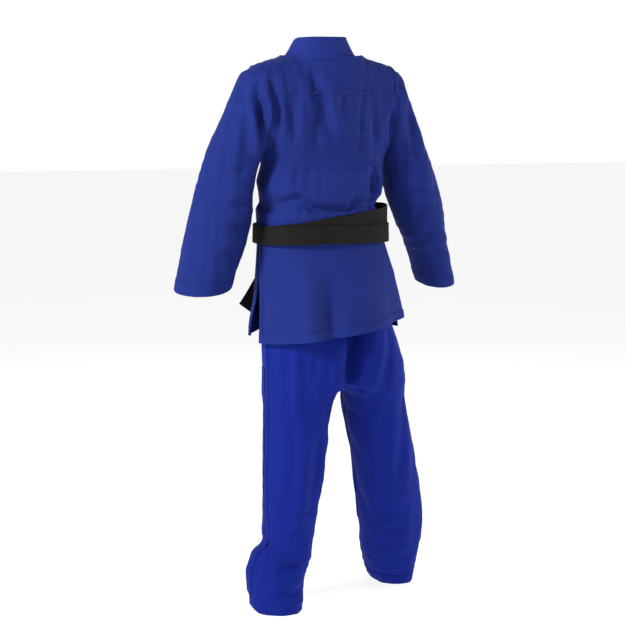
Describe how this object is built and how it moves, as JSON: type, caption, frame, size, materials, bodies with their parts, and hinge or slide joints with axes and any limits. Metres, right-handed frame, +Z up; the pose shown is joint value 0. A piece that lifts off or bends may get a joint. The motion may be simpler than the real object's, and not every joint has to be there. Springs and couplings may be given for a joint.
{
  "type": "martial arts uniform",
  "caption": "Blue judo style uniform: wrapped jacket with wide sleeves, knotted black belt and loose trousers, hanging as worn, with hinged sleeves, legs, skirts and belt tails.",
  "frame": {"origin": "centre of the wearer's waist, at the top edge of the trousers' waistband", "axes": "+Z up, the uniform's front faces -Y, the wearer's left is +X"},
  "size_m": [0.7826, 0.3942, 1.48],
  "materials": {
    "jacket_rice": "pearl weave cotton, matt",
    "jacket_diamond": "diamond weave cotton, matt",
    "jacket_hem": "stitched cotton hem, matt",
    "collar_cloth": "quilted cotton twill, matt",
    "trouser_twill": "cotton twill, soft sheen",
    "trouser_hem": "stitched cotton twill",
    "knee_patch": "cotton twill, second layer",
    "belt_cloth": "ribbed cotton, matt"
  },
  "bodies": {
    "trousers": {"waistband": "trouser_hem", "string_loops": "trouser_hem", "left_seat": "trouser_twill", "right_seat": "trouser_twill", "crotch_gusset": "trouser_twill", "left_hip_section": "trouser_twill", "right_hip_section": "trouser_twill"},
    "jacket": {"collar": "collar_cloth", "left_lapel": "collar_cloth", "right_lapel": "collar_cloth", "back_yoke": "jacket_rice", "upper_back": "jacket_rice", "lower_back": "jacket_diamond", "left_front": "jacket_rice", "right_front": "jacket_rice", "left_armpit_gusset": "jacket_rice", "right_armpit_gusset": "jacket_rice", "left_sleeve_head": "jacket_rice", "right_sleeve_head": "jacket_rice", "belt_inner_wrap": "belt_cloth", "belt_outer_wrap": "belt_cloth", "belt_knot": "belt_cloth"},
    "back_skirt": {"back_skirt": "jacket_diamond", "back_skirt_hem": "jacket_hem"},
    "right_front_skirt": {"right_front_skirt": "jacket_diamond", "right_front_skirt_hem": "jacket_hem", "right_lapel_tail": "collar_cloth"},
    "left_front_skirt": {"left_front_skirt": "jacket_diamond", "left_front_skirt_hem": "jacket_hem", "left_lapel_tail": "collar_cloth"},
    "left_belt_tail": {"left_belt_tail": "belt_cloth"},
    "right_belt_tail": {"right_belt_tail": "belt_cloth"},
    "left_upper_sleeve": {"left_upper_sleeve": "jacket_rice", "left_elbow_section": "jacket_rice"},
    "left_forearm": {"left_forearm": "jacket_rice", "left_cuff_hem": "jacket_hem"},
    "left_thigh": {"left_thigh": "trouser_twill", "left_knee_patch": "knee_patch", "left_knee_section": "trouser_twill"},
    "left_shin": {"left_shin": "trouser_twill", "left_shin_patch": "knee_patch", "left_leg_hem": "trouser_hem"},
    "right_upper_sleeve": {"right_upper_sleeve": "jacket_rice", "right_elbow_section": "jacket_rice"},
    "right_forearm": {"right_forearm": "jacket_rice", "right_cuff_hem": "jacket_hem"},
    "right_thigh": {"right_thigh": "trouser_twill", "right_knee_patch": "knee_patch", "right_knee_section": "trouser_twill"},
    "right_shin": {"right_shin": "trouser_twill", "right_shin_patch": "knee_patch", "right_leg_hem": "trouser_hem"}
  },
  "joints": [
    {"name": "jacket_lift", "type": "slide", "parent": "trousers", "child": "jacket", "axis": [0, 0, 1], "range_m": [0, 0.4]},
    {"name": "left_shoulder", "type": "hinge", "parent": "jacket", "child": "left_upper_sleeve", "pos_m": [0.186, -0.006, 0.335], "axis": [0, -1, 0], "range_deg": [0, 70], "deforming": ["left_sleeve_head"]},
    {"name": "right_shoulder", "type": "hinge", "parent": "jacket", "child": "right_upper_sleeve", "pos_m": [-0.186, -0.002, 0.335], "axis": [0, 1, 0], "range_deg": [0, 70], "deforming": ["right_sleeve_head"]},
    {"name": "left_elbow", "type": "hinge", "parent": "left_upper_sleeve", "child": "left_forearm", "pos_m": [0.272, -0.024, 0.064], "axis": [-1, 0, 0], "range_deg": [0, 50], "deforming": ["left_elbow_section"]},
    {"name": "right_elbow", "type": "hinge", "parent": "right_upper_sleeve", "child": "right_forearm", "pos_m": [-0.28, -0.007, 0.064], "axis": [-1, 0, 0], "range_deg": [0, 50], "deforming": ["right_elbow_section"]},
    {"name": "left_hip", "type": "hinge", "parent": "trousers", "child": "left_thigh", "pos_m": [0.08, -0.0046, -0.404], "axis": [-1, 0, 0], "range_deg": [-20, 45], "deforming": ["left_hip_section"]},
    {"name": "right_hip", "type": "hinge", "parent": "trousers", "child": "right_thigh", "pos_m": [-0.14, -0.0808, -0.404], "axis": [-1, 0, 0], "range_deg": [-20, 45], "deforming": ["right_hip_section"]},
    {"name": "left_knee", "type": "hinge", "parent": "left_thigh", "child": "left_shin", "pos_m": [0.086, -0.004, -0.652], "axis": [1, 0, 0], "range_deg": [0, 48], "stiffness_Nm_per_rad": 0.3, "springref_deg": -22.92, "deforming": ["left_knee_section"]},
    {"name": "right_knee", "type": "hinge", "parent": "right_thigh", "child": "right_shin", "pos_m": [-0.21, -0.06, -0.652], "axis": [1, 0, 0], "range_deg": [0, 48], "stiffness_Nm_per_rad": 0.3, "springref_deg": -22.92, "deforming": ["right_knee_section"]},
    {"name": "back_skirt_lift", "type": "hinge", "parent": "jacket", "child": "back_skirt", "pos_m": [0, 0.118, -0.031], "axis": [1, 0, 0], "range_deg": [0, 50], "stiffness_Nm_per_rad": 0.3, "springref_deg": -17.19},
    {"name": "right_front_skirt_lift", "type": "hinge", "parent": "jacket", "child": "right_front_skirt", "pos_m": [0, -0.118, -0.031], "axis": [-1, 0, 0], "range_deg": [0, 17], "stiffness_Nm_per_rad": 0.5, "springref_deg": -17.19},
    {"name": "left_front_skirt_lift", "type": "hinge", "parent": "right_front_skirt", "child": "left_front_skirt", "pos_m": [0, -0.118, -0.031], "axis": [-1, 0, 0], "range_deg": [0, 25], "stiffness_Nm_per_rad": 0.4, "springref_deg": -17.19},
    {"name": "left_belt_tail_swing", "type": "hinge", "parent": "left_front_skirt", "child": "left_belt_tail", "pos_m": [0.038, -0.1385, -0.052], "axis": [-1, 0, 0], "range_deg": [0, 60]},
    {"name": "right_belt_tail_swing", "type": "hinge", "parent": "left_front_skirt", "child": "right_belt_tail", "pos_m": [-0.038, -0.1385, -0.052], "axis": [-1, 0, 0], "range_deg": [0, 60]}
  ]
}
